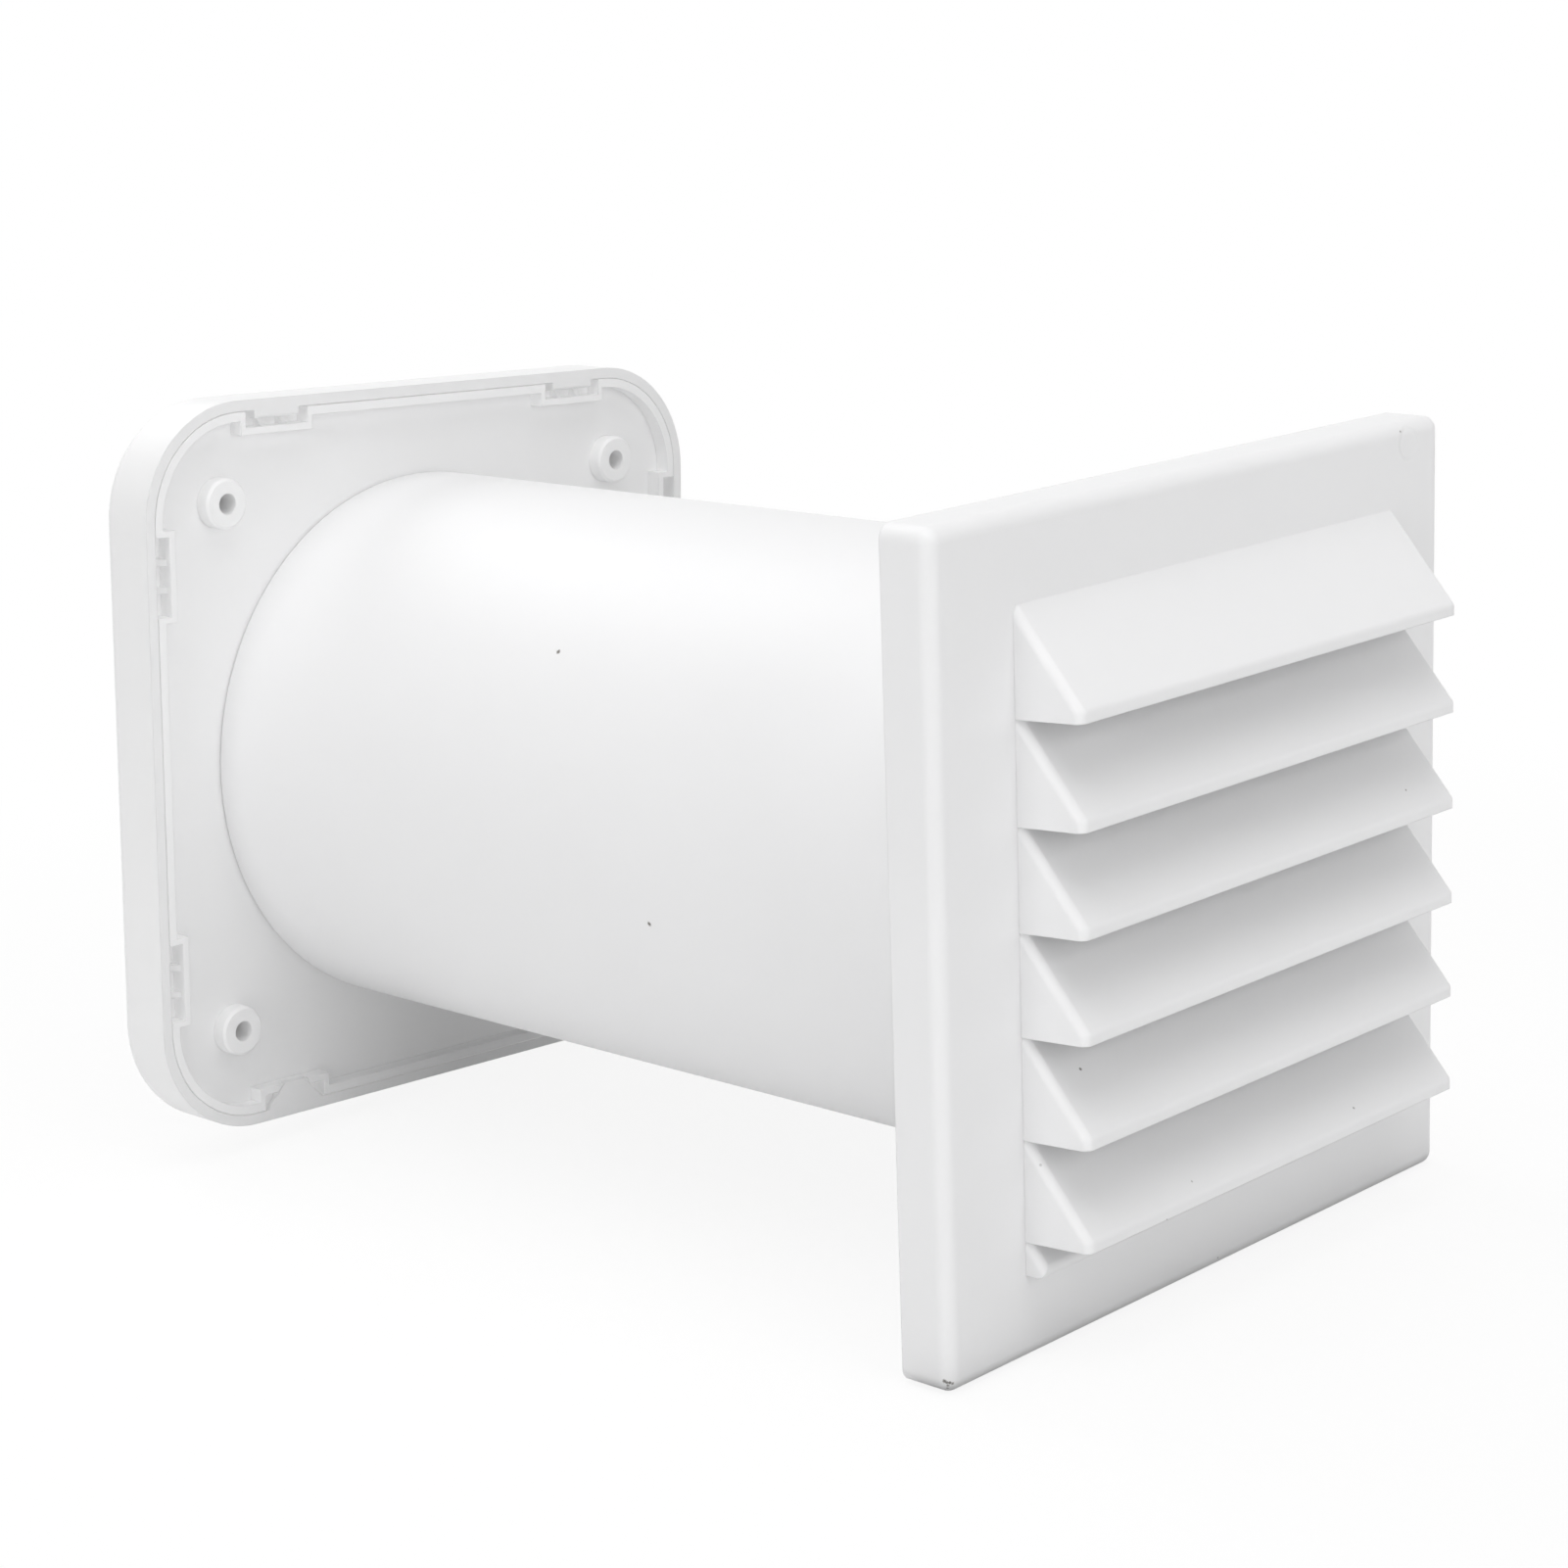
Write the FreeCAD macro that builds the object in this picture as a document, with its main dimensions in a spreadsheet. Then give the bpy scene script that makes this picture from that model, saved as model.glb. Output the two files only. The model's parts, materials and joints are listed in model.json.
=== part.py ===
# Through-wall dryer vent for a 100 mm hose, in white moulded plastic.
#
# The tube runs along Y through the wall. Y = 0 is the room's wall face, +Y is the room, and the
# outdoor wall face lies at Y = -wall_span. +Z is up. The origin is on the tube's axis, in the middle
# of the four wall screws. Every size is a cell of the sheet "Sizes", in millimetres and degrees.
import FreeCAD, Part
import math
import os
import Sketcher

SIZES = (
    ("wall_span", 183.8, "between the outdoor and the room wall face"),
    ("fit_gap", 0.2, "radial clearance of collars inside the tube"),
    ("seat_gap", 0.25, "axial clearance where pieces butt"),
    ("overlap", 0.5, "how far a moulded feature is rooted in its wall"),
    ("tube_diameter", 107.0, "outside of the wall tube"),
    ("tube_wall", 2.0, "wall of the tube"),
    ("collar_wall", 1.8, "wall of the collars and of the spigot"),
    ("grille_side", 140.0, "width and height of the outdoor grille"),
    ("grille_depth", 10.0, "depth of the grille's shell"),
    ("grille_wall", 2.2, "wall of the grille's shell"),
    ("grille_round", 2.5, "rounding of the shell's outer edges"),
    ("grille_collar", 20.0, "length of the grille's collar in the tube"),
    ("louvre_width", 105.7, "width of the louvre block"),
    ("louvre_offset", 2.4, "the block's middle stands this far to +X"),
    ("louvre_top", 55.2, "height of the first louvre's root"),
    ("louvre_pitch", 17.32, "from one louvre to the next"),
    ("louvre_reach", 13.2, "how far the louvres stand out"),
    ("louvre_height", 18.2, "height of a cheek at its root"),
    ("louvre_rise", 0.8, "how much higher a cheek ends at its tip"),
    ("louvre_lip", 1.9, "height of a louvre's tip face"),
    ("louvre_wall", 1.8, "thickness of blades and cheeks"),
    ("louvre_round", 1.5, "rounding of a louvre's outer edges"),
    ("sill_height", 6.6, "height of the short sill below the last louvre"),
    ("cover_side", 143.0, "width and height of the trim cover"),
    ("cover_corner", 22.4, "corner radius of the cover's outline"),
    ("cover_wall", 2.1, "wall of the cover"),
    ("cover_depth", 13.5, "how far the cover stands into the room"),
    ("cover_round", 3.2, "rounding of the cover's room-side edge"),
    ("cover_gap", 0.15, "between the cover and the plate's rib"),
    ("spigot_gap", 0.6, "between the cover and the hose spigot's root"),
    ("plate_turn", 2.9, "turn of the room plate on the tube, degrees"),
    ("rib_wall", 1.8, "thickness of the plate's perimeter rib"),
    ("floor_depth", 3.2, "from the wall face to the plate's floor"),
    ("floor_wall", 2.0, "thickness of the plate's floor"),
    ("plate_collar", 18.0, "length of the plate's collar in the tube"),
    ("hose_step", 3.5, "how much smaller the hose spigot's radius is than the tube's"),
    ("spigot_reach", 24.0, "how far the spigot stands out of the cover"),
    ("spigot_root", 1.0, "how much thicker the spigot is behind the cover"),
    ("spigot_chamfer", 1.0, "lead-in outside the spigot's mouth"),
    ("screw_inset", 19.5, "from the cover's sides to a wall screw"),
    ("screw_hole", 4.0, "diameter of the screw holes"),
    ("boss_diameter", 9.8, "diameter of the screw bosses"),
    ("boss_chamfer", 0.5, "chamfer round a boss's face"),
    ("clip_inset", 32.1, "from the next side of the cover to a clip pocket's middle"),
    ("clip_width", 15.2, "inner width of a clip pocket"),
    ("clip_wall", 1.2, "end walls of a clip pocket"),
    ("clip_depth", 3.1, "from the rib's outside to the pocket's inner wall"),
    ("clip_back", 1.4, "thickness of the pocket's inner wall"),
    ("gusset_gap", 0.6, "from a gusset to the cover"),
    ("gusset_drop", 1.0, "from the wall face to a gusset's top"),
    ("gusset_place", 2.65, "from a pocket's middle to a gusset"),
    ("gusset_wall", 1.3, "thickness of a gusset"),
    ("lip_width", 11.0, "width of a snap lip"),
    ("lip_reach", 1.6, "how far a snap lip stands inwards"),
    ("lip_lead", 0.4, "lead-in of a snap lip"),
    ("tongue_base", 14.6, "width of a release tongue at the rim"),
    ("tongue_end", 5.0, "width of a release tongue at its end"),
    ("tongue_reach", 4.7, "length of a release tongue"),
    ("tongue_drop", 0.2, "how far a tongue slopes roomwards"),
    ("tongue_wall", 1.2, "thickness of a release tongue"),
    ("notch_gap", 0.3, "clearance of the tongue in its notch"),
    ("ring_length", 18.0, "length of the damper's sleeve"),
    ("ring_gap", 0.05, "radial clearance of the sleeve's push fit in the tube"),
    ("ring_wall", 2.2, "wall of the damper's sleeve"),
    ("seat_ledge", 6.75, "how far the damper's seat stands in from its sleeve"),
    ("seat_wall", 1.6, "thickness of the damper's seat"),
    ("flap_lap", 1.5, "how far the flap laps its seat"),
    ("flap_wall", 1.2, "thickness of the flap"),
    ("flap_tilt", 4.0, "lean of the closed flap, degrees"),
    ("flap_gap", 0.3, "between the closed flap and its seat"),
    ("hinge_rise", 1.9, "from the flap's edge up to the hinge pin"),
    ("hinge_place", 9.0, "from the sleeve's room end to the hinge pin"),
    ("pin_diameter", 2.0, "diameter of the hinge pin"),
    ("pin_gap", 0.06, "radial running clearance on the pin"),
    ("pin_length", 25.0, "length of the hinge pin"),
    ("knuckle_diameter", 4.2, "diameter of the flap's knuckle"),
    ("knuckle_width", 18.0, "width of the flap's knuckle"),
    ("knuckle_web", 4.0, "height of the web below the knuckle"),
    ("ear_gap", 0.5, "between the knuckle and an ear"),
    ("ear_wall", 2.0, "thickness of an ear"),
    ("ear_margin", 1.4, "plastic round the pin in an ear"),
    ("ear_height", 3.1, "from the pin up into the sleeve"),
)
LOUVRES = 6

# Places that several pieces share
FRONT_FACE = "-(Sizes.wall_span + Sizes.grille_depth)"
FRONT_BACK = "-(Sizes.wall_span + Sizes.grille_depth - Sizes.grille_wall)"
TUBE_BORE = "(Sizes.tube_diameter / 2 - Sizes.tube_wall)"
COLLAR_OUTSIDE = f"({TUBE_BORE} - Sizes.fit_gap)"
COLLAR_INSIDE = f"({COLLAR_OUTSIDE} - Sizes.collar_wall)"
SPIGOT_OUTSIDE = "(Sizes.tube_diameter / 2 - Sizes.hose_step)"
SPIGOT_INSIDE = f"({SPIGOT_OUTSIDE} - Sizes.collar_wall)"
COVER_INSIDE = "(Sizes.cover_side / 2 - Sizes.cover_wall)"
COVER_INSIDE_CORNER = "(Sizes.cover_corner - Sizes.cover_wall)"
RIB_OUTSIDE = f"({COVER_INSIDE} - Sizes.cover_gap)"
RIB_CORNER = f"({COVER_INSIDE_CORNER} - Sizes.cover_gap)"
FLOOR_BACK = "(Sizes.floor_depth + Sizes.floor_wall)"
POCKET_BACK = f"({RIB_OUTSIDE} - Sizes.clip_depth)"
CLIP_PLACE = "(Sizes.cover_side / 2 - Sizes.clip_inset)"
SCREW_PLACE = "(Sizes.cover_side / 2 - Sizes.screw_inset)"
BLADE_DROP = "(Sizes.louvre_height - Sizes.louvre_rise - Sizes.louvre_lip)"
RING_START = "-(Sizes.plate_collar + Sizes.seat_gap)"
RING_OUTSIDE = f"({TUBE_BORE} - Sizes.ring_gap)"
RING_INSIDE = f"({RING_OUTSIDE} - Sizes.ring_wall)"
SEAT_RADIUS = f"({RING_INSIDE} - Sizes.seat_ledge)"
FLAP_RADIUS = f"({SEAT_RADIUS} + Sizes.flap_lap)"
HINGE_HEIGHT = f"({FLAP_RADIUS} + Sizes.hinge_rise)"
HINGE_Y = f"({RING_START} - Sizes.hinge_place)"

doc = FreeCAD.newDocument("DryerVent")
sheet = doc.addObject("Spreadsheet::Sheet", "Sizes")
for row, (alias, value, note) in enumerate(SIZES, 1):
    sheet.set(f"A{row}", alias)
    sheet.set(f"B{row}", str(value))
    sheet.set(f"C{row}", note)
    sheet.setAlias(f"B{row}", alias)
doc.recompute()


def new_body(name):
    """An empty body whose label is the piece's name."""
    body = doc.addObject("PartDesign::Body", name)
    body.Label = name
    return body


def new_sketch(body, name, role, offset=None, tilt=None):
    """A sketch on one of the body's own planes, moved and leaned by formulas."""
    sketch = body.newObject("Sketcher::SketchObject", name)
    plane = next(item for item in body.Origin.OriginFeatures if item.Role == role)
    sketch.AttachmentSupport = [(plane, "")]
    sketch.MapMode = "FlatFace"
    if tilt:
        lean = FreeCAD.Rotation(FreeCAD.Vector(-1, 0, 0), 1)
        sketch.AttachmentOffset = FreeCAD.Placement(FreeCAD.Vector(), lean)
        sketch.setExpression("AttachmentOffset.Rotation.Angle", tilt)
    for axis, formula in (offset or {}).items():
        sketch.setExpression(f"AttachmentOffset.Base.{axis}", formula)
    return sketch


def tie(sketch, kind, geometry, vertex, formula):
    """Fix one coordinate of a sketch point by a formula."""
    index = sketch.addConstraint(Sketcher.Constraint(kind, -1, 1, geometry, vertex, 1.0))
    sketch.setExpression(f"Constraints[{index}]", formula)


def add_outline(sketch, corners):
    """A closed outline of straight edges. Each corner is a pair of formulas: across and up."""
    first = sketch.GeometryCount
    count = len(corners)
    rough = [
        FreeCAD.Vector(math.cos(2 * math.pi * k / count), math.sin(2 * math.pi * k / count), 0)
        for k in range(count)
    ]
    for k in range(count):
        sketch.addGeometry(Part.LineSegment(rough[k], rough[(k + 1) % count]))
    for k in range(count):
        following = first + (k + 1) % count
        sketch.addConstraint(Sketcher.Constraint("Coincident", first + k, 2, following, 1))
    for k, (across, up) in enumerate(corners):
        tie(sketch, "DistanceX", first + k, 1, across)
        tie(sketch, "DistanceY", first + k, 1, up)


def add_box(sketch, left, right, low, high):
    """A rectangle between four formulas."""
    add_outline(sketch, [(left, low), (right, low), (right, high), (left, high)])


def add_circle(sketch, across, up, radius):
    """A circle from three formulas."""
    index = sketch.addGeometry(Part.Circle(FreeCAD.Vector(1, 1, 0), FreeCAD.Vector(0, 0, 1), 1.0))
    tie(sketch, "DistanceX", index, 3, across)
    tie(sketch, "DistanceY", index, 3, up)
    size = sketch.addConstraint(Sketcher.Constraint("Radius", index, 1.0))
    sketch.setExpression(f"Constraints[{size}]", radius)


def add_rounded_square(sketch, half, corner):
    """A centred square of four sides and four tangent corner arcs."""
    first = sketch.GeometryCount
    normal = FreeCAD.Vector(0, 0, 1)
    for quarter in range(4):
        turn = quarter * math.pi / 2
        middle = FreeCAD.Vector(
            30 * (math.cos(turn) - math.sin(turn)), 30 * (math.sin(turn) + math.cos(turn)), 0
        )
        circle = Part.Circle(middle, normal, 10)
        sketch.addGeometry(Part.ArcOfCircle(circle, turn, turn + math.pi / 2))
    for quarter in range(4):
        here = sketch.Geometry[first + quarter].EndPoint
        there = sketch.Geometry[first + (quarter + 1) % 4].StartPoint
        sketch.addGeometry(Part.LineSegment(here, there))
    for quarter in range(4):
        arc = first + quarter
        side = first + 4 + quarter
        following = first + (quarter + 1) % 4
        sketch.addConstraint(Sketcher.Constraint("Tangent", arc, 2, side, 1))
        sketch.addConstraint(Sketcher.Constraint("Tangent", side, 2, following, 1))
    for quarter in range(1, 4):
        sketch.addConstraint(Sketcher.Constraint("Equal", first, first + quarter))
    signs = ((1, 1), (-1, 1), (-1, -1), (1, -1))
    for quarter, (across, up) in enumerate(signs):
        tie(sketch, "DistanceX", first + quarter, 3, f"{across} * ({half} - {corner})")
        tie(sketch, "DistanceY", first + quarter, 3, f"{up} * ({half} - {corner})")
    size = sketch.addConstraint(Sketcher.Constraint("Radius", first, 10.0))
    sketch.setExpression(f"Constraints[{size}]", corner)


def pad(body, name, sketch, length, reverse=False, both=False):
    """Add plastic over a sketch."""
    feature = body.newObject("PartDesign::Pad", name)
    feature.Profile = sketch
    feature.setExpression("Length", length)
    feature.Reversed = reverse
    feature.Midplane = both
    sketch.Visibility = False
    return feature


def pocket(body, name, sketch, length, reverse=False, both=False):
    """Cut a sketch away, and fail if nothing is cut."""
    doc.recompute()
    before = body.Shape.Volume
    feature = body.newObject("PartDesign::Pocket", name)
    feature.Profile = sketch
    feature.setExpression("Length", length)
    feature.Reversed = reverse
    feature.Midplane = both
    doc.recompute()
    if body.Shape.Volume > before - 1e-3:
        raise ValueError(f"{name} cuts nothing")
    return feature


def revolve(body, name, corners):
    """Turn an outline of (y, radius) corners about the tube's axis."""
    sketch = new_sketch(body, name + "_section", "YZ_Plane")
    add_outline(sketch, corners)
    feature = body.newObject("PartDesign::Revolution", name)
    feature.Profile = sketch
    feature.ReferenceAxis = (sketch, ["H_Axis"])
    feature.Angle = 360.0
    return feature


def four_sides(body, name, features, sketch):
    """Repeat features on the four sides of a plate, turned about the normal of a sketch."""
    doc.recompute()
    pattern = body.newObject("PartDesign::PolarPattern", name)
    pattern.Originals = features
    pattern.Axis = (sketch, ["N_Axis"])
    pattern.Angle = 360.0
    pattern.Occurrences = 4
    body.Tip = pattern
    doc.recompute()
    return pattern


def treat_edges(body, kind, name, chosen, **formulas):
    """Add a fillet or chamfer to the edges of the body's last feature that the test picks."""
    doc.recompute()
    base = body.Tip
    names = [f"Edge{k}" for k, edge in enumerate(base.Shape.Edges, 1) if chosen(edge)]
    if not names:
        raise ValueError(f"{name} finds no edge")
    feature = body.newObject(kind, name)
    feature.Base = (base, names)
    for setting, formula in formulas.items():
        feature.setExpression(setting, formula)
    body.Tip = feature
    doc.recompute()
    return feature


def round_edges(body, name, chosen, radius):
    """Round the edges that the test picks."""
    return treat_edges(body, "PartDesign::Fillet", name, chosen, Radius=radius)


def size(alias):
    """The present value of a cell, for picking edges."""
    return float(sheet.get(alias))


def near(value, target):
    """Whether two lengths are the same."""
    return abs(value - target) < 1e-3


def make_wall_tube():
    """The smooth tube through the wall, cut square at both ends."""
    body = new_body("wall_tube")
    start = f"({FRONT_BACK} + Sizes.seat_gap)"
    end = "(Sizes.floor_depth - Sizes.seat_gap)"
    outside = "Sizes.tube_diameter / 2"
    revolve(body, "tube", [(start, TUBE_BORE), (end, TUBE_BORE), (end, outside), (start, outside)])
    return body


def make_louvre():
    """One louvre: a blade that slopes out and down between two cheeks, open below."""
    body = new_body("louvre_form")
    side = new_sketch(body, "louvre_side", "YZ_Plane")
    reach = "Sizes.louvre_reach"
    add_outline(side, [
        ("0", "0"),
        (f"-{reach}", f"-{BLADE_DROP}"),
        (f"-{reach}", "Sizes.louvre_rise - Sizes.louvre_height"),
        ("0", "-Sizes.louvre_height"),
    ])
    pad(body, "louvre_block", side, "Sizes.louvre_width", both=True)
    half = size("louvre_width") / 2
    front = -size("louvre_reach")
    bottom = size("louvre_rise") - size("louvre_height")

    def outer_edge(edge):
        ends = [vertex.Point for vertex in edge.Vertexes]
        along_tip = all(near(p.y, front) for p in ends)
        at_side = all(near(abs(p.x), half) for p in ends)
        slanted = at_side and near(max(p.z for p in ends), 0) and not along_tip
        lower = all(near(p.z, bottom) for p in ends)
        return (slanted and min(p.y for p in ends) < front / 2) or (along_tip and not lower)

    round_edges(body, "louvre_rounding", outer_edge, "Sizes.louvre_round")
    hollow = new_sketch(body, "louvre_hollow_side", "YZ_Plane")
    length = f"sqrt({reach}^2 + {BLADE_DROP}^2)"
    skin = f"(Sizes.louvre_wall * {length} / {reach})"
    shift = f"({reach} - Sizes.louvre_wall)"
    add_outline(hollow, [
        ("Sizes.overlap", f"-{skin} + Sizes.overlap * {BLADE_DROP} / {reach}"),
        (f"-{shift}", f"-{skin} - {shift} * {BLADE_DROP} / {reach}"),
        (f"-{shift}", "-(Sizes.louvre_height + Sizes.louvre_lip)"),
        ("Sizes.overlap", "-(Sizes.louvre_height + Sizes.louvre_lip)"),
    ])
    pocket(body, "louvre_hollow", hollow, "Sizes.louvre_width - 2 * Sizes.louvre_wall", both=True)
    return body


def make_sill():
    """The short sill that closes the louvre block at the bottom."""
    body = new_body("sill_form")
    side = new_sketch(body, "sill_side", "YZ_Plane")
    out = f"Sizes.sill_height * Sizes.louvre_reach / {BLADE_DROP}"
    add_outline(side, [
        ("0", "0"),
        (f"-{out}", "-Sizes.sill_height"),
        ("0", "-Sizes.sill_height"),
    ])
    pad(body, "sill_block", side, "Sizes.louvre_width", both=True)

    steepness = (size("louvre_height") - size("louvre_rise") - size("louvre_lip")) / size("louvre_reach")

    def outer_edge(edge):
        ends = [vertex.Point for vertex in edge.Vertexes]
        on_slope = all(near(p.z, p.y * steepness) for p in ends)
        return on_slope and not all(near(p.y, 0) for p in ends)

    round_edges(body, "sill_rounding", outer_edge, "Sizes.louvre_round")
    return body


def make_grille_shell():
    """The grille's square shell, its duct hole and the collar that plugs into the tube."""
    body = new_body("grille_shell")
    outline = new_sketch(body, "shell_outline", "XZ_Plane", {"z": "Sizes.wall_span"})
    half = "Sizes.grille_side / 2"
    add_box(outline, f"-{half}", half, f"-{half}", half)
    pad(body, "shell_block", outline, "Sizes.grille_depth")
    back = -size("wall_span")

    def outer_edge(edge):
        return not all(near(vertex.Point.y, back) for vertex in edge.Vertexes)

    round_edges(body, "shell_rounding", outer_edge, "Sizes.grille_round")
    inside = new_sketch(body, "shell_inside", "XZ_Plane", {"z": "Sizes.wall_span"})
    clear = "(Sizes.grille_side / 2 - Sizes.grille_wall)"
    add_box(inside, f"-{clear}", clear, f"-{clear}", clear)
    pocket(body, "shell_hollow", inside, "Sizes.grille_depth - Sizes.grille_wall", reverse=True)
    mouth = new_sketch(body, "duct_mouth", "XZ_Plane", {"z": "Sizes.wall_span"})
    add_circle(mouth, "0", "0", COLLAR_INSIDE)
    pocket(body, "duct_hole", mouth, "Sizes.grille_depth + Sizes.overlap", reverse=True)
    root = f"{FRONT_BACK} - Sizes.overlap"
    end = f"{FRONT_BACK} + Sizes.grille_collar"
    revolve(body, "grille_collar", [
        (root, COLLAR_INSIDE), (end, COLLAR_INSIDE), (end, COLLAR_OUTSIDE), (root, COLLAR_OUTSIDE),
    ])
    return body


def make_louvre_grille():
    """The outdoor grille: shell, six louvres and the sill, moulded as one."""
    shell = make_grille_shell()
    louvre = make_louvre()
    sill = make_sill()
    sill.setExpression("Placement.Base.x", "Sizes.louvre_offset")
    sill.setExpression("Placement.Base.y", FRONT_FACE)
    sill.setExpression("Placement.Base.z", f"Sizes.louvre_top - {LOUVRES} * Sizes.louvre_pitch")
    copies = []
    for k in range(LOUVRES):
        copy = doc.addObject("App::Link", f"louvre_{k + 1}")
        copy.LinkedObject = louvre
        copy.setExpression("Placement.Base.x", "Sizes.louvre_offset")
        copy.setExpression("Placement.Base.y", FRONT_FACE)
        copy.setExpression("Placement.Base.z", f"Sizes.louvre_top - {k} * Sizes.louvre_pitch")
        copies.append(copy)
    grille = doc.addObject("Part::MultiFuse", "louvre_grille")
    grille.Shapes = [shell, sill] + copies
    grille.Refine = True
    return grille


def make_wall_plate():
    """The room-side base plate: tray with rib, clip pockets, screw bosses, collar and spigot."""
    body = new_body("wall_plate")
    outline = new_sketch(body, "plate_outline", "XZ_Plane")
    add_rounded_square(outline, RIB_OUTSIDE, RIB_CORNER)
    pad(body, "plate_block", outline, FLOOR_BACK, reverse=True)
    inside = new_sketch(body, "tray_outline", "XZ_Plane")
    add_rounded_square(inside, f"({RIB_OUTSIDE} - Sizes.rib_wall)", f"({RIB_CORNER} - Sizes.rib_wall)")
    pocket(body, "tray", inside, "Sizes.floor_depth")

    frames = new_sketch(body, "pocket_frames", "XZ_Plane")
    middle = f"({RIB_OUTSIDE} - Sizes.rib_wall / 2)"
    wide = "(Sizes.clip_width / 2 + Sizes.clip_wall)"
    for side in (f"-1 * {CLIP_PLACE}", CLIP_PLACE):
        add_box(frames, f"{side} - {wide}", f"{side} + {wide}", f"{POCKET_BACK} - Sizes.clip_back", middle)
    frame_pad = pad(body, "pocket_frame", frames, "Sizes.floor_depth + Sizes.overlap", reverse=True)
    four_sides(body, "pocket_frames_round", [frame_pad], frames)

    gaps = new_sketch(body, "pocket_gaps", "XZ_Plane")
    narrow = "Sizes.clip_width / 2"
    for side in (f"-1 * {CLIP_PLACE}", CLIP_PLACE):
        add_box(gaps, f"{side} - {narrow}", f"{side} + {narrow}", POCKET_BACK, f"{RIB_OUTSIDE} + 1")
    gap_cut = pocket(body, "pocket_gap", gaps, "Sizes.floor_depth")
    four_sides(body, "pocket_gaps_round", [gap_cut], gaps)
    for side in (-1, 1):
        for twin in (-1, 1):
            name = f"gusset_{'left' if side < 0 else 'right'}_{'a' if twin < 0 else 'b'}"
            place = f"{side} * {CLIP_PLACE} + {twin} * Sizes.gusset_place"
            fin = new_sketch(body, name + "_side", "YZ_Plane", {"z": place})
            add_outline(fin, [
                ("Sizes.gusset_drop", f"{POCKET_BACK} - Sizes.overlap"),
                ("Sizes.gusset_drop", POCKET_BACK),
                ("Sizes.floor_depth", f"{COVER_INSIDE} - Sizes.gusset_gap"),
                ("Sizes.floor_depth + Sizes.overlap", f"{COVER_INSIDE} - Sizes.gusset_gap"),
                ("Sizes.floor_depth + Sizes.overlap", f"{POCKET_BACK} - Sizes.overlap"),
            ])
            fin_pad = pad(body, name, fin, "Sizes.gusset_wall", both=True)
            four_sides(body, name + "_round", [fin_pad], outline)

    bosses = new_sketch(body, "boss_places", "XZ_Plane")
    holes = new_sketch(body, "screw_places", "XZ_Plane")
    for across in (-1, 1):
        for up in (-1, 1):
            x = f"{across} * {SCREW_PLACE}"
            z = f"{up} * {SCREW_PLACE}"
            add_circle(bosses, x, z, "Sizes.boss_diameter / 2")
            add_circle(holes, x, z, "Sizes.screw_hole / 2")
    pad(body, "screw_bosses", bosses, "Sizes.floor_depth + Sizes.overlap", reverse=True)
    boss_radius = size("boss_diameter") / 2

    def boss_rim(edge):
        curve = edge.Curve
        round_one = isinstance(curve, Part.Circle) and near(curve.Radius, boss_radius)
        return round_one and near(curve.Center.y, 0)

    treat_edges(body, "PartDesign::Chamfer", "boss_chamfers", boss_rim, Size="Sizes.boss_chamfer")
    pocket(body, "screw_holes", holes, f"{FLOOR_BACK} + 1")

    end = "-Sizes.plate_collar"
    floor = f"({FLOOR_BACK} - Sizes.overlap)"
    revolve(body, "plate_collar", [
        (end, COLLAR_INSIDE), (floor, COLLAR_INSIDE), (floor, COLLAR_OUTSIDE), (end, COLLAR_OUTSIDE),
    ])
    mouth = "(Sizes.cover_depth + Sizes.spigot_reach)"
    root = f"{SPIGOT_OUTSIDE} + Sizes.spigot_root"
    revolve(body, "hose_spigot", [
        (floor, SPIGOT_INSIDE),
        (mouth, SPIGOT_INSIDE),
        (mouth, f"{SPIGOT_OUTSIDE} - Sizes.spigot_chamfer"),
        (f"{mouth} - Sizes.spigot_chamfer", SPIGOT_OUTSIDE),
        ("Sizes.cover_depth", SPIGOT_OUTSIDE),
        ("Sizes.cover_depth", root),
        (floor, root),
    ])
    bore = new_sketch(body, "duct_outline", "XZ_Plane")
    add_circle(bore, "0", "0", SPIGOT_INSIDE)
    pocket(body, "duct_bore", bore, f"{FLOOR_BACK} + Sizes.overlap")
    cut_tongue_notches(body)
    turn_plate(body)
    return body


def tongue(body, kind, name, side, grow):
    """A sloping trapezoid at a bottom pocket: the cover's tongue, or with growth its notch."""
    wedge = body.newObject(kind, name)
    wide = f"Sizes.tongue_base / 2 + {grow}"
    slim = f"Sizes.tongue_end / 2 + {grow}"
    wedge.setExpression("Xmin", f"-({wide})")
    wedge.setExpression("Xmax", wide)
    wedge.setExpression("X2min", f"-({slim})")
    wedge.setExpression("X2max", slim)
    wedge.Ymin = 0
    wedge.setExpression("Ymax", f"Sizes.tongue_reach + Sizes.overlap + {grow}")
    wedge.setExpression("Zmin", f"-Sizes.tongue_wall - {grow}")
    wedge.setExpression("Zmax", grow)
    wedge.setExpression("Z2min", f"-Sizes.tongue_drop - Sizes.tongue_wall - {grow}")
    wedge.setExpression("Z2max", f"-Sizes.tongue_drop + {grow}")
    wedge.Placement = FreeCAD.Placement(FreeCAD.Vector(), FreeCAD.Rotation(FreeCAD.Vector(1, 0, 0), 90))
    wedge.setExpression("Placement.Base.x", f"{side} * {CLIP_PLACE}")
    wedge.setExpression("Placement.Base.z", f"-({COVER_INSIDE} + Sizes.overlap)")
    body.Tip = wedge
    doc.recompute()
    return wedge


def cut_tongue_notches(body):
    """Let the cover's two release tongues through the inner walls of the bottom pockets."""
    for side in (-1, 1):
        name = f"tongue_notch_{'left' if side < 0 else 'right'}"
        tongue(body, "PartDesign::SubtractiveWedge", name, side, "Sizes.notch_gap")


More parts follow.
